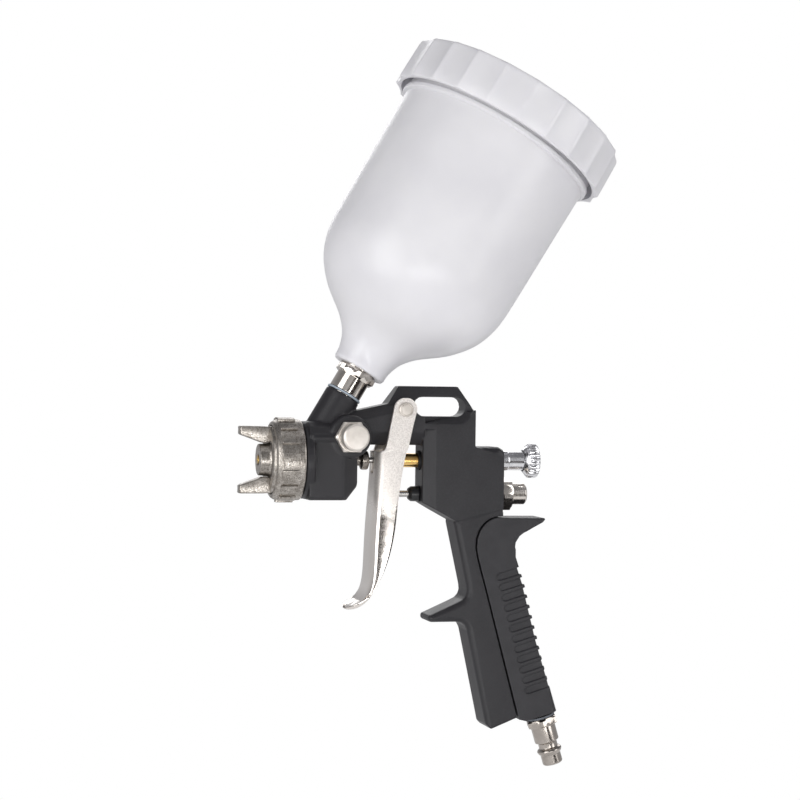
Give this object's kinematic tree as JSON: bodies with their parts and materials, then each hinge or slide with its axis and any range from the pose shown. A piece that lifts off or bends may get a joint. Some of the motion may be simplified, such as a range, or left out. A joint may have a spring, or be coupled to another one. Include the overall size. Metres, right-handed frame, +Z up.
{
  "type": "hvlp spray gun",
  "caption": "Gravity-feed HVLP paint spray gun with a screw-lidded plastic cup, trigger, fluid and fan controls, air cap with horns, hanging slot and air inlet plug.",
  "frame": {"origin": "middle of the flat upper inner face of the hanging slot", "axes": "+X from the nozzle to the rear, +Z up with the gun held level, +Y to the gunman's left seen from behind"},
  "size_m": [0.1813, 0.1108, 0.348],
  "materials": {
    "black_paint": "satin, fine texture",
    "grip_nylon": "matte moulded",
    "cast_nickel": "rough cast, plated",
    "nickel": "turned and plated",
    "chrome": "polished",
    "steel": "ground",
    "brass": "turned",
    "white_pp": "satin, slightly translucent",
    "washer_grey": "matte",
    "black_rubber": "matte",
    "ptfe": "waxy"
  },
  "bodies": {
    "root": {"gun_body": "black_paint", "rear_grip": "grip_nylon", "air_baffle": "brass", "fluid_nozzle": "steel", "needle_guide_bush": "black_rubber", "needle_packing": "ptfe", "packing_gland_screw": "nickel", "needle_spring": "steel", "fluid_knob_sleeve": "chrome", "air_valve_guide": "black_rubber", "air_valve_spring": "steel", "air_valve_plug": "nickel", "fan_valve_housing": "nickel", "trigger_pin": "nickel", "trigger_pin_screw": "nickel", "cup_connector": "nickel", "connector_washer": "washer_grey", "cup": "white_pp", "cup_strainer": "ptfe", "air_plug": "nickel", "air_plug_washer": "washer_grey"},
    "trigger": {"trigger": "chrome"},
    "needle": {"fluid_needle": "steel", "needle_collar": "brass"},
    "air_valve": {"air_valve_stem": "steel", "air_valve_seal": "black_rubber"},
    "fluid_knob_carriage": {"spring_seat_washer": "steel"},
    "fluid_knob": {"fluid_knob": "chrome"},
    "fan_knob_carriage": {"fan_valve_o_ring": "black_rubber"},
    "fan_knob": {"fan_valve_knob": "nickel"},
    "ring_carriage": {"cap_snap_ring": "steel"},
    "retaining_ring": {"retaining_ring": "cast_nickel"},
    "air_cap": {"air_cap": "cast_nickel"},
    "lid_carriage": {"lid_gasket": "ptfe"},
    "lid": {"lid": "white_pp", "lid_vent_plug": "ptfe"}
  },
  "joints": [
    {"name": "trigger_pull", "type": "hinge", "parent": "root", "child": "trigger", "pos_m": [-0.018, 0, -0.006], "axis": [0, -1, 0], "range_deg": [0, 12], "stiffness_Nm_per_rad": 1.2, "springref_deg": -20.05},
    {"name": "needle_travel", "type": "slide", "parent": "root", "child": "needle", "axis": [1, 0, 0], "range_m": [0, 0.0052], "deforming": ["needle_spring"]},
    {"name": "air_valve_travel", "type": "slide", "parent": "root", "child": "air_valve", "axis": [1, 0, 0], "range_m": [0, 0.0086], "deforming": ["air_valve_spring"]},
    {"name": "fluid_knob_lift", "type": "slide", "parent": "root", "child": "fluid_knob_carriage", "axis": [1, 0, 0], "range_m": [0, 0.004]},
    {"name": "fluid_knob_turn", "type": "hinge", "parent": "fluid_knob_carriage", "child": "fluid_knob", "pos_m": [0.046, 0, -0.0303], "axis": [1, 0, 0], "range_deg": [0, 1440]},
    {"name": "fan_knob_lift", "type": "slide", "parent": "root", "child": "fan_knob_carriage", "axis": [0, -1, 0], "range_m": [0, 0.0025]},
    {"name": "fan_knob_turn", "type": "hinge", "parent": "fan_knob_carriage", "child": "fan_knob", "pos_m": [-0.0451, -0.023, -0.019], "axis": [0, -1, 0], "range_deg": [0, 900]},
    {"name": "ring_lift", "type": "slide", "parent": "root", "child": "ring_carriage", "axis": [-1, 0, 0], "range_m": [0, 0.0015]},
    {"name": "ring_turn", "type": "hinge", "parent": "ring_carriage", "child": "retaining_ring", "pos_m": [-0.074, 0, -0.0303], "axis": [-1, 0, 0], "range_deg": [0, 360]},
    {"name": "air_cap_turn", "type": "hinge", "parent": "ring_carriage", "child": "air_cap", "pos_m": [-0.078, 0, -0.0303], "axis": [-1, 0, 0], "range_deg": [-90, 90]},
    {"name": "lid_lift", "type": "slide", "parent": "root", "child": "lid_carriage", "axis": [0.512, 0, 0.859], "range_m": [0, 0.018]},
    {"name": "lid_turn", "type": "hinge", "parent": "lid_carriage", "child": "lid", "pos_m": [-0.03806, 0, 0.01345], "axis": [0.512, 0, 0.859], "range_deg": [0, 1080]}
  ],
  "couplings": [
    {"joint": "needle_travel", "follows": "trigger_pull", "m_per_rad": 0.0243},
    {"joint": "air_valve_travel", "follows": "trigger_pull", "m_per_rad": 0.0402},
    {"joint": "fluid_knob_lift", "follows": "fluid_knob_turn", "m_per_rad": 0.00015915},
    {"joint": "fan_knob_lift", "follows": "fan_knob_turn", "m_per_rad": 0.00015915},
    {"joint": "ring_lift", "follows": "ring_turn", "m_per_rad": 0.00023873},
    {"joint": "lid_lift", "follows": "lid_turn", "m_per_rad": 0.00095493}
  ]
}
